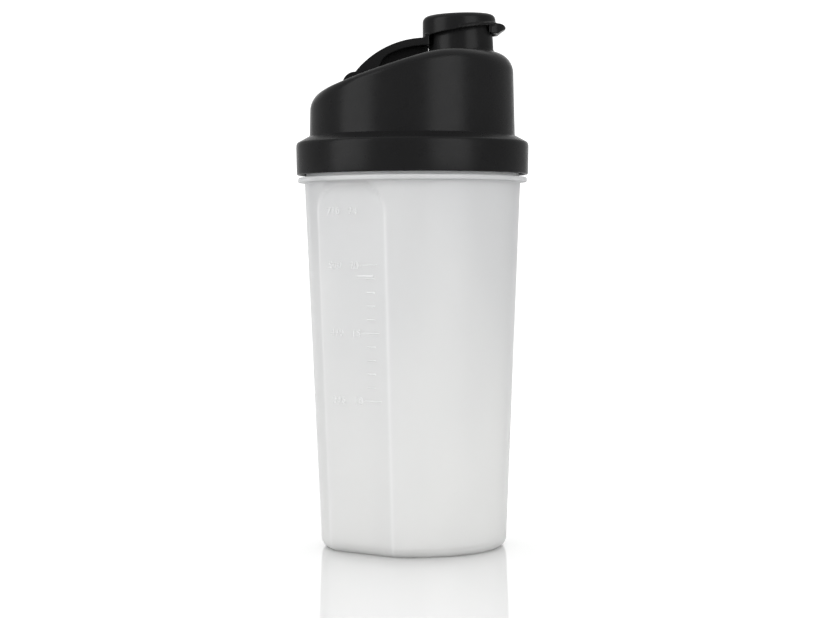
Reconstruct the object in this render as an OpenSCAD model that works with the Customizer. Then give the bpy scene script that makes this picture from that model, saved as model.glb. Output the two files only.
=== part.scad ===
// Shaker bottle: threaded cup, screw lid with a sloping top, flip cap on an arm, and a mixing strainer.
// The origin is on the cup's axis, on the surface it stands on. +Z is up and +X points to the spout.

/* [Cup] */
// Height of the cup's rim
rim_z = 166.3; // [160:0.1:175]
// Radius the tapered wall would have at the surface it stands on
cup_base_r = 38.8; // [37:0.1:39.5]
// Growth of the wall's radius for each millimetre of height
cup_taper = 0.0423; // [0.036:0.0001:0.044]
// Thickness of the cup's wall
cup_wall = 1.5; // [1.2:0.1:1.8]
// Thickness of the cup's floor
cup_floor = 2.2; // [1.6:0.1:3]
// Radius of the rounded bottom edge
cup_corner_r = 4; // [3:0.5:5]
// Depth of the recess under the floor, inside the standing ring
foot_recess = 1; // [0.5:0.1:1.4]

/* [Neck and thread] */
// Height of the flange's lower face
flange_z = 152.8; // [152.5:0.1:153]
// Thickness of the flange
flange_t = 2; // [1.5:0.1:2.2]
// How far the flange stands out from the wall
flange_out = 2.8; // [2:0.1:3]
// Thickness of the neck's wall
neck_wall = 1.7; // [1.5:0.1:1.9]
// Rise of the thread in one turn
pitch = 6; // [5.5:0.1:6.5]
// Height of the thread's ridge
thread_h = 1.5; // [1:0.1:1.6]

/* [Grip panels] */
// Direction that the first panel faces, seen from above
panel_az = 232.5; // [0:2.5:357.5]
// Half of the angle that a panel takes out of the wall at the base
panel_half = 24.8; // [22:0.2:26]
// Radius of a panel's top corners
panel_corner_r = 13; // [8:1:15]

/* [Screw lid] */
// Height of the skirt's lower edge
skirt_z = 156; // [155.6:0.1:156.4]
// Radius of the skirt at its widest
skirt_r = 48.75; // [48.5:0.05:49.5]
// Radius of the drum where it leaves the skirt
drum_r = 43.05; // [42.5:0.05:43.2]
// Thickness of the drum's wall and top
lid_wall = 2; // [1.6:0.1:2.4]
// Height of the platform at the spout's axis
platform_z = 206; // [205.5:0.1:206.5]
// Slope of the top, in degrees
slope = 17.3; // [17:0.1:17.6]

/* [Spout and flip cap] */
// Distance of the spout's axis from the cup's axis
spout_x = 20.6; // [20.5:0.1:20.7]
// Outer radius of the spout at its foot
spout_r = 13.7; // [13.5:0.05:13.75]
// Thickness of the spout's wall
spout_wall = 2.3; // [2:0.1:2.4]
// Height of the flip cap's top
cap_z = 223.3; // [223.1:0.1:223.6]
// Outer radius of the flip cap
cap_r = 15.3; // [15.2:0.05:15.5]
// Angle of the flip cap's lower edge
cap_edge_angle = 9; // [8.5:0.5:9.5]

/* [Hinge] */
// Position of the hinge's axis along X
hinge_x = -23.5; // [-23.7:0.1:-23.3]
// Height of the hinge's axis
hinge_z = 193; // [192.8:0.1:193.2]
// Width of the arm
arm_w = 17; // [14:0.5:17]
// Radius of the moulded hinge pins
pin_r = 1.8; // [1.5:0.1:2]

/* [Mixing strainer] */
// Distance between the centres of the grid's bars
grid_pitch = 5.5; // [5:0.5:8]
// Width of a bar
grid_bar = 1.3; // [1:0.1:1.8]

/* [Hidden] */
$fn = 96;
over = 1;                         // how far a cutter runs past what it cuts
seat_gap = 0.1;                   // gap between two faces that rest on each other

function wall_r(z) = cup_base_r + cup_taper * z;
function bezier(a, b, c, steps = 10) =
    [for (i = [0:steps]) let (t = i / steps) (1 - t) * (1 - t) * a + 2 * t * (1 - t) * b + t * t * c];
function arc(centre, r, from, to, steps = 8) =
    [for (i = [0:steps]) let (a = from + (to - from) * i / steps) centre + r * [cos(a), sin(a)]];

neck_r = wall_r(flange_z) - 0.65;
neck_in_r = neck_r - neck_wall;
flange_r = wall_r(flange_z) + flange_out;
standing_r = cup_base_r - 4;      // outer radius of the flat ring that the cup stands on
standing_w = 4;

thread_root_w = 2.4;
thread_crest_w = 1.2;
thread_sunk = 0.3;                // depth of the ridge's root inside its wall
thread_az = 229;                  // where the cup's thread starts
thread_z = flange_z + flange_t + 1.7;
cup_turns = 1.4;
lid_turns = 1.1;
lid_thread_skip = 250;            // degrees from the start of the cup's thread to the start of the lid's

panel_d = cup_base_r * cos(panel_half);
panel_tilt = atan(cup_taper);    // a panel leans as much as the wall does
panel_top = flange_z - 0.8;
panel_hw = sqrt(pow(wall_r(panel_top), 2) - pow(panel_d + cup_taper * panel_top, 2)) + 0.4;

strainer_t = 1.2;
strainer_r = neck_in_r - 0.3;
strainer_low_r = 38.4;
strainer_z = 150;
strainer_lip_r = neck_r - 0.3;
strainer_lip_t = 1;
strainer_lip_z = rim_z + seat_gap;

gasket_z = strainer_lip_z + strainer_lip_t + seat_gap;
gasket_t = 1.4;
gasket_in_r = neck_in_r - 0.6;
gasket_out_r = neck_r + 1.8;
land_z = gasket_z + gasket_t + seat_gap;
skirt_in_r = neck_r + 2.2;
shoulder_z = skirt_z + 13.4;      // where the skirt's side turns into its chamfered shoulder
drum_z = shoulder_z + 2.8;
drum_draft = 0.0217;
shoulder_r = 8.9;                 // rounding between the platform and the drum
knee_x = 10.3;                    // where the slope meets the platform
platform_tilt = 3.4;              // the platform still rises a little towards the spout's side
knee_z = platform_z - (spout_x - knee_x) * tan(platform_tilt);
far = 60;                         // beyond the drum's wall

spout_top_z = cap_z - 3;
spout_in_r = spout_r - spout_wall - 0.1;
spout_mid_r = spout_r - 0.25;     // the spout is nearly straight up to here, and tapers to its lip
spout_mid_z = 212.5;
spout_lip_r = spout_r - 1.5;
spout_clear = 0.3;                // room round the spout as the cap swings off it
cap_x = spout_x - 0.8;            // the cap sits off the spout's axis, to swing clear of it
cap_in_r = cap_r - 1.1;
cap_roof_t = 1.8;
cap_edge_r = 2;
cap_edge_z = 213.3;               // height of the lower edge on the hinge's side
brim_out = 1;
brim_t = 1.2;
tab_at = [36, 214.2];             // where the tab's outline is drawn from
tab_w = 12;
tab_skirt_w = 18;

arm_centre = [5.9, 174.8];        // centre of the arm's arch, in the XZ plane
arm_out_r = 38;
arm_in_r = 34.7;
arm_skin = 1.8;
web_t = 2.6;
web_gap = 0.5;
web_end = spout_x - spout_r - 0.25; // the web stops short of the spout
// The arm grows deeper where it runs into its knuckle
arm_root = [[-9, 206.6], [-12.2, 203.6], [-13.9, 200.2], [-16, 197.4],
            [-20, 192.4], [-22, 198], [-15, 205], [-9.5, 208]];
knuckle_r = 4.1;
pin_l = 2.8;
pin_fit = 0.06;
ear_t = 4.4;
ear_r = 5.3;                      // the ears bulge out of the slope round the hinge's pins
pocket_r = 10;
pocket_w = arm_w + 0.8;

seal_t = 0.9;
plug_h = 1.6;
plug_top_r = 10.9;
plug_low_r = 9.6;

module along_y(width) {
    rotate([90, 0, 0]) linear_extrude(width, center = true) children();
}

// A screw thread's ridge on a wall of radius r. A negative depth makes it stand inwards.
module ridge(r, depth, z0, az0, turns) {
    steps = round(48 * turns);
    root = r - sign(depth) * thread_sunk;
    // The ridge grows from nothing over the first eighth of a turn and fades in the same way
    grow = [for (i = [0:steps]) min(1, 0.1 + i / 6, 0.1 + (steps - i) / 6)];
    points = [for (i = [0:steps]) let (
            az = az0 + 360 * turns * i / steps,
            z = z0 + pitch * turns * i / steps,
            crest = r + depth * grow[i])
        each [for (p = [[root, -thread_root_w], [crest, -thread_crest_w],
                        [crest, thread_crest_w], [root, thread_root_w]])
            [p[0] * cos(az), p[0] * sin(az), z + p[1] / 2]]];
    sides = [for (i = [0:steps - 1], k = [0:3]) let (n = (k + 1) % 4)
        [4 * i + k, 4 * i + n, 4 * i + 4 + n, 4 * i + 4 + k]];
    ends = [[3, 2, 1, 0], [for (k = [0:3]) 4 * steps + k]];
    faces = concat(sides, ends);
    polyhedron(points, depth < 0 ? [for (f = faces) [for (k = [3:-1:0]) f[k]]] : faces);
}

// What a grip panel takes off a wall: everything outside one plane, up to a round-cornered top
module panel_cut(inset) {
    half = panel_hw + inset;
    top = panel_top + inset;
    for (turn = [0, 180])
        rotate([0, 0, panel_az + turn]) translate([panel_d - inset, 0, 0])
            rotate([0, panel_tilt, 0]) rotate([90, 0, 90]) linear_extrude(30) {
                translate([-half, -10]) square([2 * half, top - panel_corner_r + 10]);
                translate([panel_corner_r - half, 0]) square([2 * (half - panel_corner_r), top]);
                for (side = [-1, 1])
                    translate([side * (half - panel_corner_r), top - panel_corner_r]) circle(panel_corner_r);
            }
}

module cup() color([0.86, 0.87, 0.88, 0.7]) {
    low_in_z = foot_recess + cup_floor;
    in_corner = 3;
    difference() {
        union() {
            difference() {
                rotate_extrude() polygon(concat(
                    [[0, 0]],
                    bezier([standing_r, 0], [cup_base_r, 0], [wall_r(cup_corner_r + 1.7), cup_corner_r + 1.7]),
                    [[wall_r(flange_z), flange_z], [0, flange_z]]));
                panel_cut(0);
            }
            translate([0, 0, flange_z]) cylinder(h = flange_t, r = flange_r);
            translate([0, 0, flange_z]) cylinder(h = rim_z - flange_z, r = neck_r);
            ridge(neck_r, thread_h, thread_z, thread_az, cup_turns);
        }
        // The inside of the cup follows the wall and the panels, and steps in at the neck
        difference() {
            rotate_extrude() polygon(concat(
                [[0, low_in_z]],
                bezier([wall_r(low_in_z) - cup_wall - in_corner, low_in_z],
                       [wall_r(low_in_z) - cup_wall, low_in_z],
                       [wall_r(low_in_z + in_corner) - cup_wall, low_in_z + in_corner]),
                [[wall_r(flange_z - 2) - cup_wall, flange_z - 2], [neck_in_r, flange_z],
                 [neck_in_r, rim_z + over], [0, rim_z + over]]));
            panel_cut(cup_wall);
        }
        translate([0, 0, -over]) cylinder(h = foot_recess + over, r = standing_r - standing_w);
    }
}

module mixing_strainer() color([0.88, 0.89, 0.89]) {
    taper_z = strainer_z + 7.6;
    low_z = taper_z - 4;            // it clears the panels' tops, which stand into the cup
    rotate_extrude() polygon([
        [strainer_low_r - strainer_t, strainer_z], [strainer_low_r, strainer_z],
        [strainer_low_r, low_z], [strainer_r, taper_z],
        [strainer_r, strainer_lip_z], [strainer_lip_r, strainer_lip_z],
        [strainer_lip_r, strainer_lip_z + strainer_lip_t], [strainer_r - strainer_t, strainer_lip_z + strainer_lip_t],
        [strainer_r - strainer_t, taper_z], [strainer_low_r - strainer_t, low_z]]);
    bars = floor((strainer_low_r - grid_bar) / grid_pitch);
    translate([0, 0, strainer_z]) linear_extrude(strainer_t + 0.3) intersection() {
        circle(strainer_low_r - strainer_t / 2);
        union() {
            for (i = [-bars:bars], turn = [0, 90])
                rotate(turn) translate([i * grid_pitch, 0]) square([grid_bar, 2 * strainer_low_r], center = true);
        }
    }
}

module lid_gasket() color([0.75, 0.76, 0.77]) {
    translate([0, 0, gasket_z]) rotate_extrude()
        polygon([[gasket_in_r, 0], [gasket_out_r, 0], [gasket_out_r, gasket_t], [gasket_in_r, gasket_t]]);
}

// The lid's top, drum and hollow share one side view, inset by the wall for the hollow
function drum_r_at(z) = drum_r - drum_draft * (z - drum_z);
function slope_z(x) = knee_z - (knee_x - x) * tan(slope);
module side_view(inset) {
    left_z = slope_z(-drum_r) - 5.5;
    left_x = -drum_r_at(left_z) + inset;
    left_end_x = left_x + 5;
    drop = inset / cos(slope);
    knee_shift = inset * (1 / cos(slope) - 1 / cos(platform_tilt)) / (tan(slope) - tan(platform_tilt));
    right_c_x = drum_r_at(platform_z - shoulder_r + 0.6) - shoulder_r;
    right_c_z = knee_z + (right_c_x - knee_x) * tan(platform_tilt) - shoulder_r / cos(platform_tilt);
    polygon(concat(
        [[-far, drum_z - 5], [-far, left_z]],
        bezier([left_x, left_z], [left_x, slope_z(left_x) - drop], [left_end_x, slope_z(left_end_x) - drop]),
        [[knee_x + knee_shift, slope_z(knee_x + knee_shift) - drop]],
        arc([right_c_x, right_c_z], shoulder_r - inset, 90 + platform_tilt, 2),
        [[far, right_c_z - 1], [far, drum_z - 5]]));
}
module dome(inset) {
    top_z = platform_z + 2;
    intersection() {
        translate([0, 0, drum_z - 4]) cylinder(h = top_z - drum_z + 4,
            r1 = drum_r_at(drum_z - 4) - inset, r2 = drum_r_at(top_z) - inset);
        along_y(3 * drum_r) side_view(inset);
    }
}

module spout_solid(room) {
    foot_z = platform_z - 2.2;      // the slope passes just above this on the hinge's side
    translate([spout_x, 0, 0]) rotate_extrude() polygon([
        [0, foot_z], [spout_r + room, foot_z], [spout_mid_r + room, spout_mid_z],
        [spout_lip_r + room, spout_top_z], [0, spout_top_z]]);
}

module screw_lid() color([0.12, 0.12, 0.13]) {
    // The chamfer runs on to this height inside the drum
    sunk_z = drum_z + (drum_z - shoulder_z) / (skirt_r - 0.35 - drum_r);
    difference() {
        union() {
            rotate_extrude() polygon([[0, skirt_z], [skirt_r - 0.25, skirt_z], [skirt_r, shoulder_z - 1.9],
                [skirt_r - 0.35, shoulder_z], [drum_r - 1, sunk_z], [0, sunk_z]]);
            dome(0);
            spout_solid(0);
            translate([hinge_x, 0, hinge_z]) along_y(pocket_w + 2 * ear_t) circle(ear_r);
        }
        // Room for the cup's neck and the gasket
        translate([0, 0, skirt_z - over]) cylinder(h = land_z - skirt_z + over, r = skirt_in_r);
        // The hollow drum keeps a wall round the hinge's pocket
        difference() {
            union() {
                dome(lid_wall);
                translate([0, 0, land_z - over]) cylinder(h = drum_z - land_z + over - 3, r = drum_r - lid_wall);
            }
            translate([hinge_x, 0, hinge_z]) along_y(pocket_w + 2 * ear_t) circle(pocket_r + lid_wall);
        }
        translate([spout_x, 0, platform_z - 2 * lid_wall]) cylinder(h = 30, r = spout_in_r);
        translate([hinge_x, 0, hinge_z]) along_y(pocket_w) circle(pocket_r);
        translate([hinge_x, 0, hinge_z]) rotate([90, 0, 0])
            cylinder(h = pocket_w + 2 * (pin_l + seat_gap), r = pin_r + pin_fit, center = true);
    }
    ridge(skirt_in_r, -thread_h - 0.3, thread_z - pitch / 2 + pitch * lid_thread_skip / 360,
        thread_az + lid_thread_skip, lid_turns);
}

module arm_band(out_r, in_r, from, to) {
    intersection() {
        difference() {
            circle(out_r);
            circle(in_r);
        }
        polygon(concat([[0, 0]], arc([0, 0], 2 * out_r, from, to)));
    }
}

// The tab and the piece of skirt below it, with the way that the spout takes out of the cap cut away
module thumb_tab() {
    difference() {
        union() {
            intersection() {
                along_y(2 * tab_w) translate(tab_at)
                    polygon([[-3, 4.8], [1.2, 4.5], [2.8, 4.0], [3.4, 3.0],
                             [3.1, 2.3], [1.6, 1.5], [0.6, 0.9], [-3, 0.2]]);
                translate([tab_at[0] - 4.1, 0, tab_at[1] - 10]) cylinder(h = 30, r = 7.5);
            }
            translate([cap_x, 0, tab_at[1] + 0.2]) linear_extrude(5) intersection() {
                circle(cap_r - 0.1);
                translate([5, -tab_skirt_w / 2]) square([far, tab_skirt_w]);
            }
        }
        for (opened = [0:0.75:9])
            translate([hinge_x, 0, hinge_z]) rotate([0, opened, 0])
                translate([-hinge_x, 0, -hinge_z]) spout_solid(spout_clear);
    }
}

// The plate along the middle of the arm that closes the space below it
module arm_web() {
    along_y(web_t) polygon(concat(
        [for (x = [-14, web_end]) [x, slope_z(x) + web_gap]],
        arc([web_end, arm_centre[1]], arm_out_r - 1.5, 90, 125)));
}

module flip_cap() color([0.12, 0.12, 0.13]) {
    arm_web();
    root_angle = atan2(hinge_z - arm_centre[1], hinge_x - arm_centre[0]);
    end_x = cap_x - cap_r + 2.7;
    difference() {
        union() {
            difference() {
                translate([cap_x, 0, 0]) rotate_extrude() polygon(concat([[0, cap_edge_z - 10]],
                    [[cap_r, cap_edge_z - 10]],
                    arc([cap_r - cap_edge_r, cap_z - cap_edge_r], cap_edge_r, 0, 90), [[0, cap_z]]));
                translate([cap_x - cap_r, 0, cap_edge_z]) rotate([0, -cap_edge_angle, 0])
                    translate([-20, -far / 2, -30]) cube([far + 20, far, 30]);
            }
            // Brim round the spout's side of the edge
            translate([cap_x - cap_r, 0, cap_edge_z]) rotate([0, -cap_edge_angle, 0])
                linear_extrude(brim_t) intersection() {
                    translate([cap_r / cos(cap_edge_angle), 0]) circle(cap_r + brim_out);
                    translate([cap_r, -far / 2]) square(far);
                }
            thumb_tab();
            // Arm, its end under the cap's edge, and its knuckle
            translate([arm_centre[0], 0, arm_centre[1]]) along_y(arm_w) arm_band(arm_out_r, arm_in_r, 90, root_angle);
            along_y(arm_w) translate([arm_centre[0] - 0.5, arm_centre[1] + arm_in_r])
                square([end_x - arm_centre[0] + 0.5, arm_out_r - arm_in_r + 1.6]);
            along_y(arm_w) polygon(arm_root);
            translate([hinge_x, 0, hinge_z]) along_y(arm_w) circle(knuckle_r);
            translate([hinge_x, 0, hinge_z]) rotate([90, 0, 0])
                cylinder(h = pocket_w + 2 * pin_l, r = pin_r, center = true);
        }
        translate([cap_x, 0, cap_edge_z - 12]) cylinder(h = cap_z - cap_roof_t - cap_edge_z + 12, r = cap_in_r);
        // The arm is a channel, open below, with a skin on top and on both sides
        translate([arm_centre[0], 0, arm_centre[1]]) along_y(arm_w - 2 * arm_skin)
            arm_band(arm_out_r - arm_skin, arm_in_r - over, 96, 121);
    }
}

module spout_seal() color([0.75, 0.76, 0.77]) {
    roof_z = cap_z - cap_roof_t;
    translate([cap_x, 0, roof_z - seal_t]) cylinder(h = seal_t, r = cap_in_r - 0.1);
    translate([spout_x, 0, 0]) rotate_extrude() polygon([
        [plug_low_r - 1.4, roof_z - seal_t / 2], [plug_top_r, roof_z - seal_t / 2], [plug_top_r, roof_z - seal_t],
        [plug_low_r, roof_z - seal_t - plug_h], [plug_low_r - 1.4, roof_z - seal_t - plug_h]]);
}

cup();
mixing_strainer();
lid_gasket();
screw_lid();
flip_cap();
spout_seal();
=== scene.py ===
"""Looks of the shaker bottle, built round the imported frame. Lengths are millimetres and angles degrees,
unless a name says otherwise. The bottle stands on z = 0 with its axis on z, and the spout is on +x."""
import math

import bmesh
import bpy
from mathutils import Matrix, Vector


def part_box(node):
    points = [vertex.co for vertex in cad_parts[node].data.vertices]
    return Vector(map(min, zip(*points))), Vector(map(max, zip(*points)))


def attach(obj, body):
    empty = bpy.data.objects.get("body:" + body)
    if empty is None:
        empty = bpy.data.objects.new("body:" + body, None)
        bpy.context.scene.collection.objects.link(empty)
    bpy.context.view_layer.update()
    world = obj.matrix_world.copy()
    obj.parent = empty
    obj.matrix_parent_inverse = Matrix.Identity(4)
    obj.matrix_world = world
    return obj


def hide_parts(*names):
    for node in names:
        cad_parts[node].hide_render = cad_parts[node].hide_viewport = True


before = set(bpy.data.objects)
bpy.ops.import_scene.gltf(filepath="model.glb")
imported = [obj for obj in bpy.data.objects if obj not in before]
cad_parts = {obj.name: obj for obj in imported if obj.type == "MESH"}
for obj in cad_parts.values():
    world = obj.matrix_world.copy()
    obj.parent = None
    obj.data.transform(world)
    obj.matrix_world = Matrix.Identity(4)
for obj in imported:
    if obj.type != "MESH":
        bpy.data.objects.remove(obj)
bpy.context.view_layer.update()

MM = 0.001
scene = bpy.context.scene


def box_mm(node):
    low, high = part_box(node)
    return Vector(low) / MM, Vector(high) / MM


# ---------------------------------------------------------------- sizes, from the frame where it has them
_, cup_high = box_mm("cup")
lid_low, lid_high = box_mm("screw_lid")
_, cap_high = box_mm("flip_cap")
strainer_low, strainer_high = box_mm("mixing_strainer")

RIM_Z = cup_high.z
FLANGE_R = cup_high.x
BASE_R = 38.8                      # radius of the tapered wall, carried down to z = 0
TAPER = 0.0423                     # growth of the wall's radius for each millimetre of height
WALL = 1.5
FLANGE_Z = RIM_Z - 13.5
FLANGE_T = 2.0
NECK_R = BASE_R + TAPER * FLANGE_Z - 0.65
NECK_IN_R = NECK_R - 1.7
IN_CORNER = 3.0                    # rounding inside, between the wall and the floor
FLOOR_Z = 3.2                      # upper face of the cup's floor
FOOT_RECESS = 1.0
FOOT_R = 4.0                       # rounding of the bottom edge

PANEL_AZ = 232.5                   # direction that the marked grip panel faces
PANEL_D = BASE_R * math.cos(math.radians(24.8))
PANEL_EDGE_SOFT = 0.5
PANEL_CORNER_R = 13.4
PANEL_CORNER_U = 5.0               # centre of a top corner, across the panel
PANEL_CORNER_Z = 139.0             # and its height
LEDGE_W = 1.2                      # width of the ledge at a panel's top
LEDGE_STEEP = 1.3

SKIRT_Z = lid_low.z
SKIRT_R = lid_high.x
SPOUT_TOP_Z = lid_high.z
SKIRT_IN_R = NECK_R + 2.2
LAND_Z = RIM_Z + 2.7               # inside face of the lid that presses on the gasket
SHOULDER_Z = SKIRT_Z + 13.4
DRUM_Z = SHOULDER_Z + 2.8
DRUM_R = 43.05
DRUM_DRAFT = 0.0217
LID_WALL = 2.0
SLOPE = math.tan(math.radians(17.3))
PLATFORM_TILT = math.tan(math.radians(3.4))
KNEE_X = 10.3                      # where the slope meets the platform
KNEE_Z = 205.4
# Rounding between the lid's top and the drum, from the slope's low end (-1) round to the spout's side (1)
EDGE_ROUND = ((-1, 4.6), (-0.8, 3.2), (-0.5, 2.5), (-0.1, 3.0), (0.25, 5.0), (0.5, 4.8), (1, 8.9))

SPOUT_X = 20.6
SPOUT_R = 13.7                     # at the spout's foot
SPOUT_FOOT_Z = 203.8
SPOUT_MID_R = 13.45                # the spout is nearly straight up to here, and tapers to its lip
SPOUT_MID_Z = 212.5
SPOUT_LIP_R = 12.2
SPOUT_IN_R = 11.3
SPOUT_ROOM = 0.3                   # room round the spout as the cap swings off it
SWING_STEP = 0.5                   # the cap's first swing is followed in steps of this angle
SWING_STEPS = 19

PITCH = 6.0
THREAD_H = 1.5
THREAD_Z = FLANGE_Z + FLANGE_T + 1.7
THREAD_AZ = 229.0                  # where the cup's thread starts
CUP_TURNS = 1.4
LID_TURNS = 1.1
LID_THREAD_SKIP = 250.0            # from the start of the cup's thread to the start of the lid's

HINGE = Vector((-23.5, 0, 193.0))
ARM_W = 17.0
POCKET_W = ARM_W + 0.8
POCKET_R = 10.0
PIN_R = 1.8
PIN_L = 2.8
KNUCKLE_R = 4.1
EAR_R = 5.3
EAR_T = 4.4
ARM_CENTRE = (5.9, 174.8)
ARM_OUT_R = 38.0
ARM_IN_R = 34.7
ARM_SKIN = 1.8

CAP_TOP_Z = cap_high.z
CAP_X = SPOUT_X - 0.8              # the cap sits off the spout's axis, to swing clear of it
CAP_R = 15.3
CAP_IN_R = 14.2
CAP_ROOF = 1.8
CAP_ROUND = 2.5                    # rounding of the cap's top edge
CAP_RIM_DROP = 0.62                # how far the crowned top has fallen at that edge
CAP_CROWN = 0.0042                 # fall of the crown, for the square of the distance from its middle
CAP_LEAN = 0.028                   # the cap's top falls a little towards the hinge
CAP_EDGE_Z = 213.3                 # height of the cap's lower edge on the hinge's side
CAP_EDGE_ANGLE = 9.0
BRIM_OUT = 1.0
BRIM_T = 1.2
TAB_AT = (36.0, 214.2)             # where the thumb tab's outline is drawn from


# ---------------------------------------------------------------- curves
def smooth_min(a, b, width):
    h = min(max(0.5 + 0.5 * (b - a) / width, 0.0), 1.0)
    return b + (a - b) * h - width * h * (1.0 - h)


def arc(x, z, r, start, end, steps=8):
    angles = [math.radians(start + (end - start) * i / steps) for i in range(steps + 1)]
    return [(x + r * math.cos(a), z + r * math.sin(a)) for a in angles]


def conic(a, b, c, weight, steps):
    """Points of a curve from a to c that leaves and arrives towards b."""
    points = []
    for i in range(steps + 1):
        t = i / steps
        ka, kb, kc = (1 - t) ** 2, 2 * weight * t * (1 - t), t * t
        total = ka + kb + kc
        points.append(tuple((ka * p + kb * q + kc * r) / total for p, q, r in zip(a, b, c)))
    return points


# ---------------------------------------------------------------- mesh building
def mesh_object(name, verts, faces):
    mesh = bpy.data.meshes.new(name)
    mesh.from_pydata([tuple(c * MM for c in v) for v in verts], [], faces)
    bm = bmesh.new()
    bm.from_mesh(mesh)
    bmesh.ops.recalc_face_normals(bm, faces=bm.faces)
    bm.to_mesh(mesh)
    bm.free()
    ob = bpy.data.objects.new(name, mesh)
    scene.collection.objects.link(ob)
    return ob


def loft(name, rows, closed=False):
    """Skins rows of points that each go once round. A row with one point is a pole."""
    verts, starts, faces = [], [], []
    for row in rows:
        starts.append(len(verts))
        verts.extend(row)
    pairs = list(zip(range(len(rows) - 1), range(1, len(rows))))
    if closed:
        pairs.append((len(rows) - 1, 0))
    for low, high in pairs:
        n = max(len(rows[low]), len(rows[high]))
        a, b = starts[low], starts[high]
        for i in range(n):
            k = (i + 1) % n
            if len(rows[low]) == 1:
                faces.append((a, b + k, b + i))
            elif len(rows[high]) == 1:
                faces.append((a + i, a + k, b))
            else:
                faces.append((a + i, a + k, b + k, b + i))
    return mesh_object(name, verts, faces)


def ring_row(r, z, angles, x=0.0):
    if r < 1e-6:
        return [(x, 0.0, z)]
    return [(x + r * math.cos(a), r * math.sin(a), z) for a in angles]


def even_angles(steps):
    return [2 * math.pi * i / steps for i in range(steps)]


def revolve(name, profile, x=0.0, steps=120, closed=False):
    return loft(name, [ring_row(r, z, even_angles(steps), x) for r, z in profile], closed)


def along_y(name, outline, width, y=0.0):
    """A prism of an outline in the xz plane."""
    n = len(outline)
    verts = [(px, y + side * width / 2, pz) for side in (-1, 1) for px, pz in outline]
    faces = [tuple(range(n)), tuple(range(2 * n - 1, n - 1, -1))]
    faces += [(i, (i + 1) % n, n + (i + 1) % n, n + i) for i in range(n)]
    return mesh_object(name, verts, faces)


def upright(name, outline, low, high):
    """A prism of an outline in the xy plane."""
    n = len(outline)
    verts = [(px, py, z) for z in (low, high) for px, py in outline]
    faces = [tuple(range(n)), tuple(range(2 * n - 1, n - 1, -1))]
    faces += [(i, (i + 1) % n, n + (i + 1) % n, n + i) for i in range(n)]
    return mesh_object(name, verts, faces)


def rod(name, r, width, centre, steps=64):
    """A cylinder along y."""
    return along_y(name, arc(centre[0], centre[2], r, 0, 360 - 360 / steps, steps - 1), width, centre[1])


def bake_modifiers(ob):
    graph = bpy.context.evaluated_depsgraph_get()
    mesh = bpy.data.meshes.new_from_object(ob.evaluated_get(graph))
    ob.modifiers.clear()
    ob.data = mesh


def combine(ob, tool, operation):
    """Joins, cuts or intersects ob with tool, which is used up."""
    mod = ob.modifiers.new("combine", "BOOLEAN")
    mod.object, mod.operation, mod.solver = tool, operation, "MANIFOLD"
    bake_modifiers(ob)
    bpy.data.objects.remove(tool)
    return ob


def soften(ob, voxel, passes, keep):
    """Remeshes a moulding so that its edges come out rounded, as a mould leaves them."""
    remesh = ob.modifiers.new("remesh", "REMESH")
    remesh.mode, remesh.voxel_size = "VOXEL", voxel * MM
    relax = ob.modifiers.new("relax", "SMOOTH")
    relax.factor, relax.iterations = 0.5, passes
    thin = ob.modifiers.new("thin", "DECIMATE")
    thin.ratio = keep
    bake_modifiers(ob)
    return ob


def spiral_ridge(name, r, depth, z0, az0, turns, root_w=2.4, crest_w=1.0):
    """A screw thread's ridge on a wall of radius r. A negative depth makes it stand inwards."""
    steps = round(72 * turns)
    root = r - math.copysign(0.3, depth)
    rows = []
    for i in range(steps + 1):
        grow = min(1.0, 0.08 + i / 9, 0.08 + (steps - i) / 9)
        crest = r + depth * grow
        az = math.radians(az0 + 360 * turns * i / steps)
        z = z0 + PITCH * turns * i / steps
        section = [(root, -root_w / 2), (crest - depth * 0.12, -crest_w / 2 - 0.25), (crest, -crest_w / 2),
                   (crest, crest_w / 2), (crest - depth * 0.12, crest_w / 2 + 0.25), (root, root_w / 2)]
        rows.append([(sr * math.cos(az), sr * math.sin(az), z + sz) for sr, sz in section])
    middle = [[tuple(sum(c) / len(row) for c in zip(*row))] for row in (rows[0], rows[-1])]
    return loft(name, [middle[0]] + rows + [middle[1]])


def dress(ob, body, material, replaced=(), sharp=32):
    """Shades a piece, gives it its material and ties it to the frame."""
    ob.data.shade_smooth()
    ob.data.set_sharp_from_angle(angle=math.radians(sharp))
    ob.data.materials.clear()
    ob.data.materials.append(material)
    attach(ob, body)
    if replaced:
        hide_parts(*replaced)
    return ob


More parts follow.
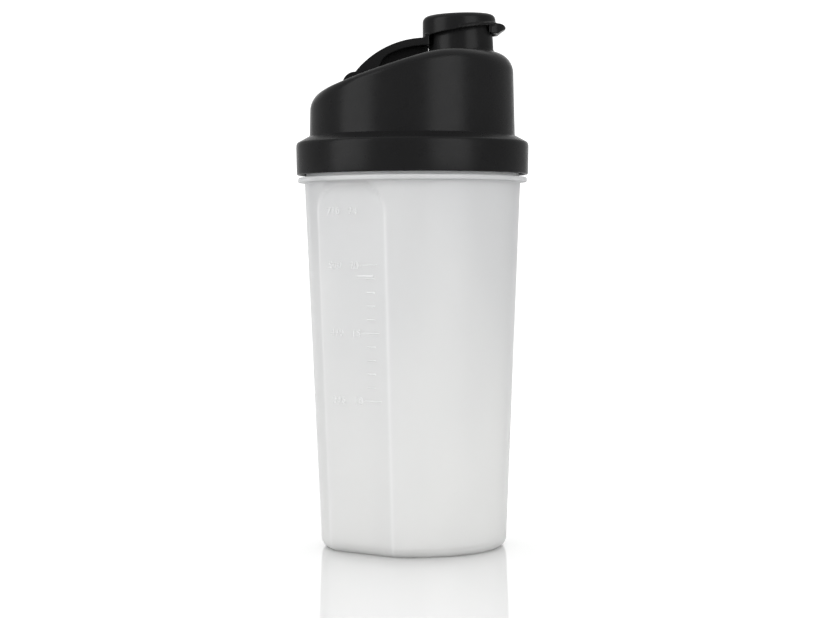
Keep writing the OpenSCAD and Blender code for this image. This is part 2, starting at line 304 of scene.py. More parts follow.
# ---------------------------------------------------------------- materials
class Nodes:
    """A small helper that adds nodes to a material and links them."""

    def __init__(self, name):
        self.material = bpy.data.materials.new(name)
        self.material.use_nodes = True
        self.tree = self.material.node_tree
        self.tree.nodes.clear()
        self.output = self.add("ShaderNodeOutputMaterial")
        self.coords = self.add("ShaderNodeTexCoord").outputs["Object"]

    def add(self, kind, values=(), **settings):
        node = self.tree.nodes.new(kind)
        for key, value in settings.items():
            setattr(node, key, value)
        for key, value in dict(values).items():
            if isinstance(value, bpy.types.NodeSocket):
                self.tree.links.new(value, node.inputs[key])
            else:
                node.inputs[key].default_value = value
        return node

    def noise(self, scale, detail=2.0, rough=0.5, stretch=None):
        coords = self.coords
        if stretch:
            coords = self.add("ShaderNodeMapping", {"Vector": coords, "Scale": stretch}).outputs[0]
        return self.add("ShaderNodeTexNoise", {"Vector": coords, "Scale": scale, "Detail": detail,
                                               "Roughness": rough}).outputs["Fac"]

    def spread(self, value, low, high):
        return self.add("ShaderNodeMapRange", {"Value": value, "From Min": 0.3, "From Max": 0.7,
                                               "To Min": low, "To Max": high}).outputs["Result"]

    def ramp(self, value, low, high):
        """Mixes two colours. Each is a triple or the output of another node."""
        a, b = (c if isinstance(c, bpy.types.NodeSocket) else (*c, 1) for c in (low, high))
        values = {"Factor": value, "A": a, "B": b}
        return self.add("ShaderNodeMix", values, data_type="RGBA").outputs["Result"]

    def bump(self, height, distance_mm, strength=1.0, normal=None):
        values = {"Height": height, "Distance": distance_mm * MM, "Strength": strength}
        if normal is not None:
            values["Normal"] = normal
        return self.add("ShaderNodeBump", values).outputs["Normal"]

    def finish(self, shader):
        self.tree.links.new(shader.outputs[0], self.output.inputs["Surface"])
        return self.material


def black_plastic():
    """Black moulded polypropylene: satin, with a fine grain and faint flow marks."""
    m = Nodes("black_plastic")
    grain = m.noise(2600, 3)
    flow = m.noise(35, 3, 0.55, (1, 1, 0.5))
    colour = m.ramp(m.spread(flow, 0, 1), (0.0072, 0.0072, 0.0074), (0.0088, 0.0088, 0.009))
    bump = m.bump(grain, 0.008, 0.4, m.bump(flow, 0.05, 0.3))
    shader = m.add("ShaderNodeBsdfPrincipled", {
        "Base Color": colour, "Roughness": m.spread(m.noise(240, 4), 0.26, 0.32),
        "Specular IOR Level": 0.06, "Normal": bump})
    return m.finish(shader)


def milky_plastic(name, low, high, clear_low, clear_high):
    """Natural polypropylene: milky, lets light through, has soft clouds in it and a satin skin.
    It goes from the low colour under the flange to the high one at the foot: painted shade under the lid and
    painted light from the floor."""
    m = Nodes(name)
    clouds = m.noise(26, 3, 0.5, (1, 1, 0.45))
    edge = m.add("ShaderNodeAttribute", attribute_name="painted_edge_light").outputs["Fac"]
    # Painted light: the colour is lighter towards the foot, as painted light from the floor, and darker
    # towards the flange, as painted shade under the lid.
    height = m.add("ShaderNodeSeparateXYZ", {"Vector": m.coords}).outputs["Z"]
    depth = m.add("ShaderNodeMapRange", {"Value": height, "From Min": 0.0, "From Max": 0.155,
                                         "To Min": 1.0, "To Max": 0.0}).outputs["Result"]
    clouds_and_painted_light = m.add("ShaderNodeMath", {0: m.spread(clouds, 0, 0.5), 1: depth}, operation="ADD")
    mix = m.add("ShaderNodeMath", {0: clouds_and_painted_light.outputs[0], 1: 0.67}, operation="MULTIPLY").outputs[0]
    base = m.ramp(mix, low, high)
    # Painted highlight: the colour is lighter along the panels' outlines.
    colour = m.ramp(edge, base, (0.9, 0.9, 0.9))
    bump = m.bump(m.noise(1500, 3), 0.012, 0.5, m.bump(m.noise(60, 3, 0.5, (1, 1, 0.3)), 0.08, 0.3))
    skin = m.add("ShaderNodeBsdfPrincipled", {
        "Base Color": colour, "Roughness": m.spread(m.noise(180, 3), 0.28, 0.38),
        "Specular IOR Level": 0.4, "Normal": bump})
    glow = m.add("ShaderNodeBsdfTranslucent", {"Color": colour, "Normal": bump})
    clear = m.add("ShaderNodeBsdfTransparent", {"Color": (0.985, 0.987, 0.99, 1)})
    body = m.add("ShaderNodeMixShader", {"Fac": 0.45, 1: skin.outputs[0], 2: glow.outputs[0]})
    see = m.add("ShaderNodeMixShader", {"Fac": m.spread(clouds, clear_low, clear_high), 1: body.outputs[0],
                                        2: clear.outputs[0]})
    return m.finish(see)


def strainer_plastic():
    """Natural polypropylene in thick section: almost opaque."""
    m = Nodes("strainer_plastic")
    clouds = m.noise(90, 3)
    colour = m.ramp(m.spread(clouds, 0, 1), (0.60, 0.605, 0.61), (0.67, 0.67, 0.665))
    shader = m.add("ShaderNodeBsdfPrincipled", {
        "Base Color": colour, "Roughness": m.spread(m.noise(300, 3), 0.34, 0.48),
        "Subsurface Weight": 0.3, "Subsurface Scale": 0.004,
        "Normal": m.bump(m.noise(1400, 3), 0.015, 0.5)})
    return m.finish(shader)


def silicone():
    """Soft seal rubber: matt, with a fine powdery surface."""
    m = Nodes("silicone")
    colour = m.ramp(m.spread(m.noise(120, 4), 0, 1), (0.50, 0.51, 0.515), (0.58, 0.585, 0.58))
    shader = m.add("ShaderNodeBsdfPrincipled", {
        "Base Color": colour, "Roughness": m.spread(m.noise(500, 4), 0.6, 0.75),
        "Subsurface Weight": 0.4, "Subsurface Scale": 0.003,
        "Normal": m.bump(m.noise(2200, 4), 0.02, 0.6)})
    return m.finish(shader)


def floor_paint():
    m = Nodes("floor_paint")
    shade = m.ramp(m.spread(m.noise(3, 2), 0, 1), (0.64, 0.64, 0.64), (0.65, 0.65, 0.65))
    shader = m.add("ShaderNodeBsdfPrincipled", {
        "Base Color": shade, "Roughness": m.spread(m.noise(12, 2), 0.03, 0.05), "Specular IOR Level": 0.5})
    return m.finish(shader)


BLACK = black_plastic()
# The low and high colours are the ends of the painted shading: painted shade under the flange, painted floor
# light at the foot.
MILKY = milky_plastic("milky_plastic", (0.65, 0.654, 0.66), (0.86, 0.86, 0.85), 0.2, 0.27)
# The raised marks get a lighter copy of the milky plastic: a painted highlight on them.
MARKS_PAINTED_HIGHLIGHT = milky_plastic("milky_plastic_painted_highlight", (0.82, 0.82, 0.82), (0.9, 0.9, 0.9), 0.4, 0.45)
NATURAL = strainer_plastic()
SEAL = silicone()


# ---------------------------------------------------------------- cup
def wall_r(z):
    return BASE_R + TAPER * z


def panel_half(z):
    """Half of the angle that a grip panel takes out of the wall at height z."""
    return math.degrees(math.acos((PANEL_D + TAPER * z) / wall_r(z)))


INSIDE = [0.1 * i for i in range(9)] + [0.86, 0.91, 0.945, 0.97, 0.985, 1.0]
OUTSIDE = [0.008, 0.018, 0.032, 0.05, 0.08, 0.12] + [0.12 + 0.08 * i for i in range(1, 12)]


def half_turn(z):
    """Column offsets from a panel's middle, -90 to 90, closest together along the panel's edges."""
    half = panel_half(min(z, FLANGE_Z))
    right = [half * t for t in INSIDE] + [half + (90 - half) * t for t in OUTSIDE]
    return [-a for a in reversed(right[1:])] + right


def cup_columns(z):
    """(azimuth, offset from the nearest panel's middle), once round the cup."""
    offsets = half_turn(z)
    return [(math.radians(PANEL_AZ + turn + off), math.radians(off))
            for turn in (0, 180) for off in offsets]


def inside_outline(u, z, grown):
    """Distance inside a panel's outline, which has round top corners. It is negative outside."""
    across = abs(u) - PANEL_CORNER_U
    above = z - PANEL_CORNER_Z
    radius = PANEL_CORNER_R + grown
    if across > 0 and above > 0:
        return radius - math.hypot(across, above)
    return radius - max(across, above)


def cup_r(base, off, z, inset):
    """Radius of the cup's surface: its round wall, or a grip panel where that lies deeper."""
    if abs(off) > math.radians(50):
        return base
    plane = (PANEL_D + TAPER * z - inset) / math.cos(off)
    ledge = max(0.0, LEDGE_W - inside_outline(plane * math.sin(off), z, inset)) * LEDGE_STEEP
    return smooth_min(base, plane + ledge, PANEL_EDGE_SOFT)


def cup_row(z, base=None, inset=0.0, shape_z=None, inward=0.0):
    shape_z = z if shape_z is None else shape_z
    base = wall_r(shape_z) if base is None else base
    row = []
    for az, off in cup_columns(shape_z):
        r = cup_r(base, off, shape_z, inset) - inward
        row.append((r * math.cos(az), r * math.sin(az), z))
    return row


def plain_row(r, z, shape_z):
    """A round row whose points keep the cup's columns."""
    return [(r * math.cos(az), r * math.sin(az), z) for az, _ in cup_columns(shape_z)]


def span(low, high, step):
    n = max(1, round((high - low) / step))
    return [low + (high - low) * i / n for i in range(n + 1)]


def paint_panel_edge_light(cup):
    """Stores how close each point lies to a panel's outline, for a painted highlight along the thick bend.
    """
    values = []
    for vertex in cup.data.vertices:
        x, y, z = vertex.co / MM
        off = (math.degrees(math.atan2(y, x)) - PANEL_AZ + 90) % 180 - 90
        across = math.hypot(x, y) * math.sin(math.radians(off))
        if z > FLANGE_Z:
            values.append(0.0)
            continue
        side = abs(abs(off) - panel_half(z)) * math.radians(1) * wall_r(z)
        top = abs(inside_outline(across, z, 0) - 0.88) if z > PANEL_CORNER_Z else 9.0
        values.append(0.45 * math.exp(-(min(side if z < PANEL_CORNER_Z else top, 9.0) / 0.7) ** 2))
    cup.data.attributes.new("painted_edge_light", "FLOAT", "POINT").data.foreach_set("value", values)


def build_cup():
    foot_in_r = BASE_R - 8.0
    rows = [[(0, 0, FOOT_RECESS)]]
    for r, z in ((15, 1), (27, 1), (foot_in_r - 1.2, 0.97), (foot_in_r - 0.4, 0.75),
                 (foot_in_r - 0.1, 0.25), (foot_in_r + 0.25, 0)):
        rows.append(plain_row(r, z, FOOT_R))
    for i in range(9):
        t = math.radians(90 * i / 8)
        rows.append(cup_row(FOOT_R * (1 - math.cos(t)), shape_z=FOOT_R, inward=FOOT_R * (1 - math.sin(t))))
    rows += [cup_row(z) for z in span(6, 132, 14) + span(133, FLANGE_Z - 0.6, 0.75)]
    under = wall_r(FLANGE_Z)
    top = FLANGE_Z + FLANGE_T
    for r, z in ([(under + 0.12, FLANGE_Z - 0.3), (under + 0.5, FLANGE_Z)]
                 + arc(FLANGE_R - 0.5, FLANGE_Z + 0.5, 0.5, -90, 0, 4)
                 + arc(FLANGE_R - 0.6, top - 0.6, 0.6, 0, 90, 4)
                 + [(NECK_R + 0.5, top), (NECK_R + 0.12, top + 0.12), (NECK_R, top + 0.5),
                    (NECK_R, top + 4), (NECK_R, RIM_Z - 0.6)]
                 + arc(NECK_R - 0.6, RIM_Z - 0.6, 0.6, 20, 90, 4)
                 + arc(NECK_IN_R + 0.5, RIM_Z - 0.5, 0.5, 90, 180, 4)
                 + [(NECK_IN_R, RIM_Z - 4), (NECK_IN_R, FLANGE_Z + 2.2)]):
        rows.append(plain_row(r, z, FLANGE_Z))
    for z in reversed(span(133, FLANGE_Z + 1.4, 0.75)):
        step_in = min(max((z - (FLANGE_Z - 2)) / 2, 0), 1)
        base = (wall_r(min(z, FLANGE_Z)) - WALL) * (1 - step_in) + NECK_IN_R * step_in
        rows.append(cup_row(z, base, WALL))
    rows += [cup_row(z, wall_r(z) - WALL, WALL) for z in reversed(span(7, 132, 14))]
    for i in range(1, 8):
        t = math.radians(90 * i / 7)
        z = FLOOR_Z + IN_CORNER * (1 - math.sin(t))
        rows.append(cup_row(z, wall_r(FOOT_R) - WALL, WALL, FOOT_R, IN_CORNER * (1 - math.cos(t))))
    rows += [plain_row(r, FLOOR_Z, FOOT_R) for r in (24, 12)] + [[(0, 0, FLOOR_Z)]]
    cup = loft("cup_body", rows)
    thread = spiral_ridge("cup_thread", NECK_R, THREAD_H, THREAD_Z, THREAD_AZ, CUP_TURNS)
    combine(cup, thread, "UNION")
    paint_panel_edge_light(cup)
    return dress(cup, "cup", MILKY, ["cup"], 40)


# ---------------------------------------------------------------- volume scale on the marked panel
MARK_LIFT = 0.22                   # how far the marks stand out of the panel
MARK_SUNK = 0.12
OUNCE_STEP = 5.52                  # height of one fluid ounce in the cup, along the panel
TEN_OUNCE_V = 63.4
# Left end, right end and height of a mark, across and up the panel
LONG_MARK = (3.2, 12.8, 0.55)
SHORT_MARK = (5.9, 10.1, 0.5)
THICK_MARK = (2.0, 10.8, 1.0)
MARK_DRIFT = 0.13                  # each mark stands this much further right than the one below
FIGURES_U = -12.6
FIGURES_H = 3.0


def panel_frame():
    """Matrix from panel coordinates (across, up, out) to the object's, in millimetres."""
    az, lean = math.radians(PANEL_AZ), math.atan(TAPER)
    facing = Vector((math.cos(az), math.sin(az), 0))
    across = Vector((-math.sin(az), math.cos(az), 0))
    up = facing * math.sin(lean) + Vector((0, 0, math.cos(lean)))
    out = facing * math.cos(lean) - Vector((0, 0, math.sin(lean)))
    place = Matrix((across, up, out)).transposed().to_4x4()
    return Matrix.Translation(facing * PANEL_D) @ place


def mark_bar(u_left, u_right, v, height):
    """A raised stroke with round ends and a domed edge, in panel coordinates."""
    r = height / 2
    outline = ([(u_right - r + x, v + y) for x, y in arc(0, 0, r, -90, 90, 6)]
               + [(u_left + r + x, v + y) for x, y in arc(0, 0, r, 90, 270, 6)])
    middle = ((u_left + u_right) / 2, v)
    rows = []
    for shrink, w in ((0, -MARK_SUNK), (0, MARK_LIFT * 0.5), (0.25, MARK_LIFT * 0.9), (0.6, MARK_LIFT)):
        rows.append([(max(min(u, u_right - r), u_left + r) * shrink + u * (1 - shrink),
                      v + (y - v) * (1 - shrink), w) for u, y in outline])
    return [[(*middle, -MARK_SUNK)]] + rows + [[(*middle, MARK_LIFT)]]


def numeral_mesh(text, u, v, height):
    """Raised figures, as a mesh in panel coordinates."""
    curve = bpy.data.curves.new("figures", "FONT")
    curve.body, curve.size, curve.extrude = text, height * 1.4, (MARK_LIFT + MARK_SUNK) / 2
    curve.bevel_depth, curve.resolution_u, curve.space_character = 0.03, 3, 1.12
    holder = bpy.data.objects.new("figures", curve)
    scene.collection.objects.link(holder)
    bpy.context.view_layer.update()
    graph = bpy.context.evaluated_depsgraph_get()
    mesh = bpy.data.meshes.new_from_object(holder.evaluated_get(graph))
    bpy.data.objects.remove(holder)
    mesh.transform(Matrix.Translation((u, v - height / 2, (MARK_LIFT - MARK_SUNK) / 2)))
    return mesh


def build_scale():
    bars = []
    for ounce in range(10, 21):
        v = TEN_OUNCE_V + OUNCE_STEP * (ounce - 10)
        drift = MARK_DRIFT * (ounce - 10)
        if ounce % 5 == 0:
            left, right, height = LONG_MARK
            bars.append(mark_bar(left + drift, right, v, height))
        else:
            left, right, height = SHORT_MARK
            bars.append(mark_bar(left + drift, right + drift, v, height))
    left, right, height = THICK_MARK
    bars.append(mark_bar(left, right, TEN_OUNCE_V + OUNCE_STEP * 9.2, height))
    bm = bmesh.new()
    for rows in bars:
        part = loft("mark", rows)
        part.data.transform(Matrix.Scale(1 / MM, 4))
        bm.from_mesh(part.data)
        bpy.data.objects.remove(part)
    for text, ounce in (("710   24", 24), ("590   20", 20), ("440   15", 15), ("295   10", 10)):
        bm.from_mesh(numeral_mesh(text, FIGURES_U, TEN_OUNCE_V + OUNCE_STEP * (ounce - 10), FIGURES_H))
    mesh = bpy.data.meshes.new("volume_scale")
    bm.to_mesh(mesh)
    bm.free()
    mesh.transform(Matrix.Scale(MM, 4) @ panel_frame())
    scale = bpy.data.objects.new("volume_scale", mesh)
    scene.collection.objects.link(scale)
    return dress(scale, "cup", MARKS_PAINTED_HIGHLIGHT)


# ---------------------------------------------------------------- mixing strainer
def bevelled_bar(name, length, width, low, high, along_x, shift):
    """A bar with bevelled edges that runs along x or y."""
    half, c = width / 2, 0.22
    section = [(-half, low + c), (-half + c, low), (half - c, low), (half, low + c),
               (half, high - c), (half - c, high), (-half + c, high), (-half, high - c)]
    rows = []
    for end in (-length / 2, length / 2):
        if along_x:
            rows.append([(end, shift + s, z) for s, z in section])
        else:
            rows.append([(shift + s, end, z) for s, z in section])
    verts = rows[0] + rows[1]
    n = len(section)
    faces = [tuple(range(n)), tuple(range(2 * n - 1, n - 1, -1))]
    faces += [(i, (i + 1) % n, n + (i + 1) % n, n + i) for i in range(n)]
    return mesh_object(name, verts, faces)


def merged(name, parts):
    bm = bmesh.new()
    for part in parts:
        bm.from_mesh(part.data)
        bpy.data.objects.remove(part)
    mesh = bpy.data.meshes.new(name)
    bm.to_mesh(mesh)
    bm.free()
    ob = bpy.data.objects.new(name, mesh)
    scene.collection.objects.link(ob)
    return ob


def build_strainer():
    low, lip_top = strainer_low.z, strainer_high.z
    low_r, ring_r, lip_r, t = 38.4, NECK_IN_R - 0.3, NECK_R - 0.3, 1.2
    taper_z = low + 7.6
    waist_z = taper_z - 4
    lip_z = lip_top - 1
    ring = revolve("strainer_body", (
        [(low_r - t, low)] + arc(low_r - 0.4, low + 0.4, 0.4, -90, 0, 3)
        + [(low_r, waist_z), (ring_r, taper_z), (ring_r, lip_z - 0.2), (ring_r + 0.2, lip_z)]
        + arc(lip_r - 0.4, lip_z + 0.4, 0.4, -90, 0, 3) + arc(lip_r - 0.4, lip_top - 0.4, 0.4, 0, 90, 3)
        + arc(ring_r - t + 0.5, lip_top - 0.5, 0.5, 90, 180, 3)
        + [(ring_r - t, taper_z), (low_r - t, waist_z)]), steps=160, closed=True)
    pitch, bar_w, high = 5.5, 1.3, low + 1.5
    count = int((low_r - bar_w) // pitch)
    layers = []
    for along_x in (True, False):
        bars = [bevelled_bar("bar", 2 * low_r, bar_w, low, high, along_x, i * pitch)
                for i in range(-count, count + 1)]
        layers.append(merged("bars", bars))
    grid = combine(layers[0], layers[1], "UNION")
    disc_r = low_r - t / 2
    disc = revolve("disc", [(0, low - 1), (disc_r, low - 1), (disc_r, high + 1), (0, high + 1)])
    combine(grid, disc, "INTERSECT")
    combine(ring, grid, "UNION")
    return dress(ring, "strainer", NATURAL, ["mixing_strainer"])


# ---------------------------------------------------------------- screw lid
def drum_r(z):
    return DRUM_R - DRUM_DRAFT * (z - DRUM_Z)


def lid_top_z(x):
    return smooth_min(KNEE_Z + (x - KNEE_X) * SLOPE, KNEE_Z + (x - KNEE_X) * PLATFORM_TILT, 1.4)


def edge_round(c):
    """Radius of the lid's top edge. c is the cosine of the azimuth."""
    for (c0, r0), (c1, r1) in zip(EDGE_ROUND, EDGE_ROUND[1:]):
        if c <= c1:
            t = (c - c0) / (c1 - c0)
            t = 0.5 * t + 0.5 * t * t * (3 - 2 * t)
            return r0 + (r1 - r0) * t
    return EDGE_ROUND[-1][1]


def lid_section(azimuth, inset):
    """(radius, height) from the axis out over the lid's top, round its edge and down the drum."""
    c = math.cos(azimuth)
    drop = inset * 1.05
    corner_z = lid_top_z(0)
    for _ in range(4):
        corner_z = lid_top_z((drum_r(corner_z) - inset) * c)
    r = drum_r(corner_z) - inset
    size = max(edge_round(c) - inset * 0.8, 1.0)
    start_r = r - size
    low_z = corner_z - drop - size * (1 + 0.3 * max(-c, 0))
    points = [(start_r * t / 24, lid_top_z(start_r * t / 24 * c) - drop) for t in range(24)]
    points += conic((start_r, lid_top_z(start_r * c) - drop), (r, corner_z - drop),
                    (drum_r(low_z) - inset, low_z), 0.707, 10)
    return points, low_z


def lid_rows(inset, end_z, columns=180):
    angles = even_angles(columns)
    sections = []
    for azimuth in angles:
        points, low_z = lid_section(azimuth, inset)
        for i in range(1, 6):
            z = low_z + (end_z - low_z) * i / 5
            points.append((drum_r(z) - inset, z))
        sections.append(points)
    rows = [[(0, 0, sections[0][0][1])]]
    for k in range(1, len(sections[0])):
        rows.append([(s[k][0] * math.cos(a), s[k][0] * math.sin(a), s[k][1])
                     for s, a in zip(sections, angles)])
    return rows, angles


def spout_profile():
    return ([(0, SPOUT_FOOT_Z), (SPOUT_R, SPOUT_FOOT_Z), (SPOUT_MID_R + 0.03, SPOUT_MID_Z - 1),
             (SPOUT_MID_R - 0.15, SPOUT_MID_Z + 1)]
            + arc(SPOUT_LIP_R - 0.45, SPOUT_TOP_Z - 0.45, 0.45, 5, 90, 5) + [(0, SPOUT_TOP_Z)])


def foot_collar():
    """The soft rounding where the spout rises out of the platform."""
    rows = []
    angles = even_angles(120)
    for out, up in ((2.2, -0.35), (1.4, -0.05), (0.9, 0.1), (0.5, 0.4), (0.25, 0.8),
                    (0.0, 1.7), (-1.5, 1.7)):
        row = []
        for a in angles:
            r = SPOUT_R - 0.12 + out
            x = SPOUT_X + r * math.cos(a)
            row.append((x, r * math.sin(a), lid_top_z(x) + up))
        rows.append(row)
    inner = [(x, y, z - 3.0) for x, y, z in rows[-1]]
    outer = [(x, y, z - 2.0) for x, y, z in rows[0]]
    return loft("collar", [outer] + rows + [inner], closed=True)


def build_lid():
    rows, angles = lid_rows(0.0, DRUM_Z + 0.5)
    for r, z in ([(drum_r(DRUM_Z) + 0.12, DRUM_Z), (SKIRT_R - 0.9, SHOULDER_Z + 0.28),
                  (SKIRT_R - 0.5, SHOULDER_Z), (SKIRT_R - 0.2, SHOULDER_Z - 0.5),
                  (SKIRT_R - 0.05, SHOULDER_Z - 1.2), (SKIRT_R, SHOULDER_Z - 2.2),
                  (SKIRT_R - 0.1, SKIRT_Z + 6), (SKIRT_R - 0.23, SKIRT_Z + 0.5)]
                 + arc(SKIRT_R - 0.65, SKIRT_Z + 0.4, 0.4, 0, -90, 3)):
        rows.append(ring_row(r, z, angles))
    rows.append([(0, 0, SKIRT_Z)])
    lid = loft("screw_lid_body", rows)

    hollow_rows, angles = lid_rows(LID_WALL, LAND_Z + 4)
    drum_in_r = DRUM_R - LID_WALL
    for r, z in ((drum_in_r, LAND_Z + 0.3), (drum_in_r + 0.3, LAND_Z), (SKIRT_IN_R, LAND_Z),
                 (SKIRT_IN_R, SKIRT_Z + 0.6), (SKIRT_IN_R + 0.7, SKIRT_Z - 0.1),
                 (SKIRT_IN_R + 0.7, SKIRT_Z - 2)):
        hollow_rows.append(ring_row(r, z, angles))
    hollow_rows.append([(0, 0, SKIRT_Z - 2)])
    hollow = loft("lid_hollow", hollow_rows)

    ears_w = POCKET_W + 2 * EAR_T
    combine(hollow, rod("pocket_wall", POCKET_R + LID_WALL, ears_w, HINGE, 96), "DIFFERENCE")
    combine(lid, revolve("spout", spout_profile(), SPOUT_X), "UNION")
    combine(lid, foot_collar(), "UNION")
    combine(lid, rod("ears", EAR_R, ears_w, HINGE, 96), "UNION")
    combine(lid, hollow, "DIFFERENCE")
    bore_low = SPOUT_FOOT_Z - 6
    bore = [(0, bore_low), (SPOUT_IN_R, bore_low), (SPOUT_IN_R, SPOUT_TOP_Z - 0.5),
            (SPOUT_IN_R + 0.15, SPOUT_TOP_Z - 0.15), (SPOUT_IN_R + 0.5, SPOUT_TOP_Z + 0.1),
            (0, SPOUT_TOP_Z + 0.1)]
    combine(lid, revolve("bore", bore, SPOUT_X), "DIFFERENCE")
    combine(lid, rod("pocket", POCKET_R, POCKET_W, HINGE, 96), "DIFFERENCE")
    combine(lid, rod("pin_bore", PIN_R + 0.06, POCKET_W + 2 * PIN_L + 0.2, HINGE, 48), "DIFFERENCE")
    thread_z = THREAD_Z - PITCH / 2 + PITCH * LID_THREAD_SKIP / 360
    thread = spiral_ridge("lid_thread", SKIRT_IN_R, -THREAD_H - 0.3, thread_z,
                          THREAD_AZ + LID_THREAD_SKIP, LID_TURNS)
    combine(lid, thread, "UNION")
    return dress(lid, "lid", BLACK, ["screw_lid"], 28)


# ---------------------------------------------------------------- flip cap
def arch(out_r, in_r, start, end, steps=40):
    x, z = ARM_CENTRE
    return arc(x, z, out_r, start, end, steps) + arc(x, z, in_r, end, start, steps)


def tilted(ob):
    """Turns a piece drawn flat at the cap's hinge side to the angle of the cap's lower edge."""
    pivot = Vector((CAP_X - CAP_R, 0, CAP_EDGE_Z)) * MM
    turn = Matrix.Translation(pivot) @ Matrix.Rotation(-math.radians(CAP_EDGE_ANGLE), 4, "Y")
    ob.data.transform(turn @ Matrix.Translation(-pivot))
    return ob


def spout_way(opened):
    """The spout as the cap meets it when it has swung open a little, with room round it."""
    way = revolve("spout_way", [(0, SPOUT_FOOT_Z), (SPOUT_R + SPOUT_ROOM, SPOUT_FOOT_Z),
                                (SPOUT_MID_R + SPOUT_ROOM, SPOUT_MID_Z),
                                (SPOUT_LIP_R + SPOUT_ROOM, SPOUT_TOP_Z), (0, SPOUT_TOP_Z)], SPOUT_X, 96)
    pivot = HINGE * MM
    turn = Matrix.Translation(pivot) @ Matrix.Rotation(math.radians(opened), 4, "Y")
    way.data.transform(turn @ Matrix.Translation(-pivot))
    return way


def build_thumb_tab():
    x, z = TAB_AT
    side = [(-3, 4.8), (1.2, 4.5), (2.2, 4.25), (2.9, 3.85), (3.35, 3.4), (3.4, 2.9), (3.15, 2.4),
            (2.6, 2.0), (1.7, 1.55), (1.1, 1.15), (0.6, 0.7), (0, 0.3), (-3, 0.1)]
    tab = along_y("tab", [(x + px, z + pz) for px, pz in side], 30)
    plan_r, plan_x = 7.5, x - 4.1
    plan = revolve("tab_plan", [(0, z - 10), (plan_r, z - 10), (plan_r, z + 20), (0, z + 20)], plan_x, 96)
    combine(tab, plan, "INTERSECT")
    skirt = upright("tab_skirt", [(CAP_X + px, py) for px, py in
                                  arc(0, 0, CAP_R - 0.1, -36, 36, 24)], z + 0.2, z + 5.4)
    combine(tab, skirt, "UNION")
    for step in range(SWING_STEPS):
        combine(tab, spout_way(step * SWING_STEP), "DIFFERENCE")
    return tab


# The arm grows deeper where it runs into its knuckle
ARM_ROOT = ((-9, 206.6), (-12.2, 203.6), (-13.9, 200.2), (-16, 197.4), (-20, 192.4), (-22, 198),
            (-15, 205), (-9.5, 208))
WEB_T = 2.6
WEB_GAP = 0.3                      # between the web and the lid's slope
WEB_END = SPOUT_X - SPOUT_R        # the web reaches the spout


def web_outline():
    """The plate along the middle of the arm that closes the space below it."""
    low = [(x, KNEE_Z + (x - KNEE_X) * SLOPE + WEB_GAP) for x in (-14, WEB_END)]
    return low + arc(WEB_END, ARM_CENTRE[1], ARM_OUT_R - 1.5, 90, 125, 16)


def build_flip_cap():
    cap = revolve("flip_cap_body", (
        [(0, CAP_EDGE_Z - 10), (CAP_R, CAP_EDGE_Z - 10)]
        + arc(CAP_R - CAP_ROUND, CAP_TOP_Z - CAP_RIM_DROP - CAP_ROUND, CAP_ROUND, 0, 80, 10)
        + [(r, CAP_TOP_Z - CAP_CROWN * r * r) for r in (10.5, 8, 5, 2.5, 0)]), CAP_X, 160)
    for vertex in cap.data.vertices:
        if vertex.co.z > (CAP_EDGE_Z + 3) * MM:
            vertex.co.z += (vertex.co.x - (CAP_X + 4) * MM) * CAP_LEAN
    below = upright("below", [(-40, -40), (60, -40), (60, 40), (-40, 40)], CAP_EDGE_Z - 40, CAP_EDGE_Z)
    combine(cap, tilted(below), "DIFFERENCE")
    middle = CAP_X - CAP_R + CAP_R / math.cos(math.radians(CAP_EDGE_ANGLE))
    brim = upright("brim", [(middle + px, py) for px, py in arc(0, 0, CAP_R + BRIM_OUT, -90, 90, 60)],
                   CAP_EDGE_Z, CAP_EDGE_Z + BRIM_T)
    combine(cap, tilted(brim), "UNION")
    combine(cap, build_thumb_tab(), "UNION")

    root = math.degrees(math.atan2(HINGE.z - ARM_CENTRE[1], HINGE.x - ARM_CENTRE[0]))
    combine(cap, along_y("arm", arch(ARM_OUT_R, ARM_IN_R, 90, root), ARM_W), "UNION")
    combine(cap, along_y("arm_root", ARM_ROOT, ARM_W), "UNION")
    end_x = CAP_X - CAP_R + 2.7
    low, high = ARM_CENTRE[1] + ARM_IN_R, ARM_CENTRE[1] + ARM_OUT_R + 1.6
    foot = along_y("arm_foot", [(ARM_CENTRE[0] - 0.5, low), (end_x, low), (end_x, high),
                                (ARM_CENTRE[0] - 0.5, high)], ARM_W)
    combine(cap, foot, "UNION")
    combine(cap, rod("knuckle", KNUCKLE_R, ARM_W, HINGE), "UNION")
    hollow = revolve("cap_hollow", [(0, CAP_EDGE_Z - 12), (CAP_IN_R, CAP_EDGE_Z - 12),
                                    (CAP_IN_R, CAP_TOP_Z - CAP_ROOF), (0, CAP_TOP_Z - CAP_ROOF)], CAP_X, 160)
    combine(cap, hollow, "DIFFERENCE")
    channel = along_y("channel", arch(ARM_OUT_R - ARM_SKIN, ARM_IN_R - 1, 96, 121), ARM_W - 2 * ARM_SKIN)
    combine(cap, channel, "DIFFERENCE")
    soften(cap, voxel=0.3, passes=6, keep=0.45)
    combine(cap, along_y("web", web_outline(), WEB_T), "UNION")
    combine(cap, rod("pins", PIN_R, POCKET_W + 2 * PIN_L, HINGE, 48), "UNION")
    return dress(cap, "cap", BLACK, ["flip_cap"], 60)


# ---------------------------------------------------------------- seals kept from the CAD model
def dress_seals():
    for node in ("lid_gasket", "spout_seal"):
        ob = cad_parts[node]
        ob.data.materials.clear()
        ob.data.materials.append(SEAL)


# ---------------------------------------------------------------- floor, lights and camera
FLOOR_HALF = 60000                 # the floor runs on to the horizon
SHEET_HALF = 15                    # the white sheet's half-angle, seen from the bottle
SHEET_FADE = 28                    # where it has faded into the room
SHEET_LIGHT = 1.25
ROOM_LIGHT = 0.48
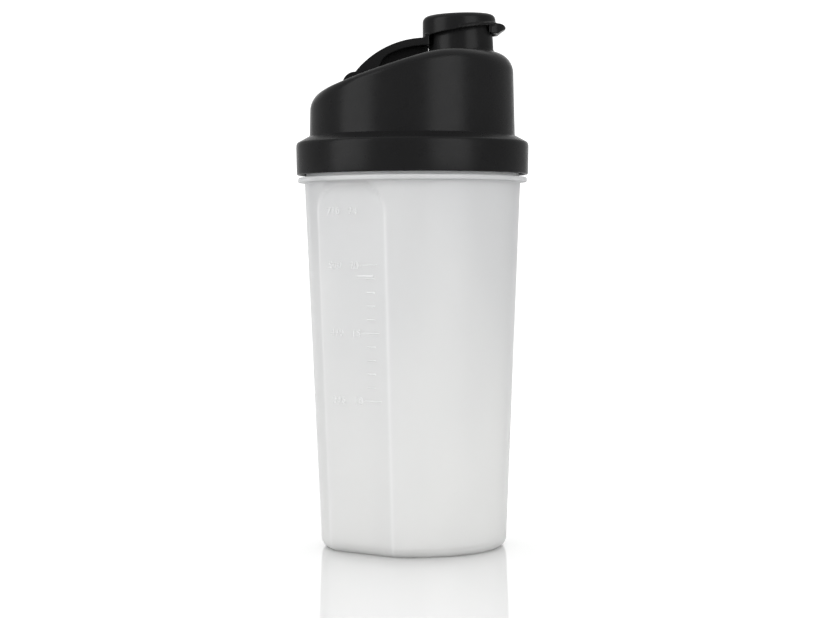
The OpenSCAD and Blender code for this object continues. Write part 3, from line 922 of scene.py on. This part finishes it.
# Name, where it stands, where it points, width and height in metres, watts, and how it treats the floor:
# the side boxes leave it alone, and one box above lights nothing else
SOFTBOXES = (("left_softbox", (-0.9, -0.44, 0.35), (0, 0, 0.35), 0.7, 1.3, 15, "EXCLUDE"),
             ("right_softbox", (0.616, -0.788, 0.35), (0, 0, 0.35), 0.7, 1.3, 15, "EXCLUDE"),
             ("top_softbox", (0, 0.8, 2.4), (0, 0.8, 0), 4, 4, 45, None),
             ("floor_softbox", (0, 0.8, 2.5), (0, 0.8, 0), 5, 5, 105, "INCLUDE"))


def build_world():
    """Even soft light from all round, with a white sheet of light behind the bottle."""
    world = bpy.data.worlds.new("studio")
    world.use_nodes = True
    tree = world.node_tree
    coords = tree.nodes.new("ShaderNodeTexCoord")
    behind = tree.nodes.new("ShaderNodeVectorMath")
    behind.operation = "DOT_PRODUCT"
    behind.inputs[1].default_value = (0, 1, 0)
    sheet = tree.nodes.new("ShaderNodeMapRange")
    sheet.interpolation_type = "SMOOTHSTEP"
    sheet.inputs["From Min"].default_value = math.cos(math.radians(SHEET_FADE))
    sheet.inputs["From Max"].default_value = math.cos(math.radians(SHEET_HALF))
    sheet.inputs["To Min"].default_value = ROOM_LIGHT
    sheet.inputs["To Max"].default_value = SHEET_LIGHT
    tree.links.new(coords.outputs["Generated"], behind.inputs[0])
    tree.links.new(behind.outputs["Value"], sheet.inputs["Value"])
    tree.links.new(sheet.outputs["Result"], tree.nodes["Background"].inputs["Strength"])
    tree.nodes["Background"].inputs["Color"].default_value = (1, 1, 1, 1)
    scene.world = world


def link_floor(light, floor, state):
    """Keeps a light off the floor, or on the floor alone."""
    receivers = bpy.data.collections.new(light.name + "_receivers")
    receivers.objects.link(floor)
    receivers.collection_objects[0].light_linking.link_state = state
    light.light_linking.receiver_collection = receivers


def build_stage():
    far = FLOOR_HALF
    corners = [(-far, -far, 0), (far, -far, 0), (far, far, 0), (-far, far, 0)]
    floor = mesh_object("floor", corners, [(0, 1, 2, 3)])
    floor.data.materials.append(floor_paint())
    build_world()
    for name, place, target, width_m, height_m, watts, floor_state in SOFTBOXES:
        light = bpy.data.lights.new(name, "AREA")
        light.shape, light.size, light.size_y, light.energy = "RECTANGLE", width_m, height_m, watts
        ob = bpy.data.objects.new(name, light)
        ob.location = place
        ob.rotation_euler = (Vector(target) - Vector(place)).to_track_quat("-Z", "Y").to_euler()
        scene.collection.objects.link(ob)
        if floor_state:
            link_floor(ob, floor, floor_state)
    scene.view_settings.view_transform = "Standard"


def build_camera():
    focal_px, picture_w = 1985.0, 825
    looks_down, roll = 1.847, 0.24
    data = bpy.data.cameras.new("camera")
    data.sensor_width = 36.0
    data.lens = focal_px / picture_w * data.sensor_width
    data.clip_start = 0.01
    camera = bpy.data.objects.new("camera", data)
    camera.location = (-0.0001, -0.836, 0.1266)       # metres
    camera.rotation_euler = (math.radians(90 - looks_down), math.radians(roll), 0)
    scene.collection.objects.link(camera)
    scene.camera = camera


build_camera()
build_stage()
build_cup()
build_scale()
build_strainer()
build_lid()
build_flip_cap()
dress_seals()
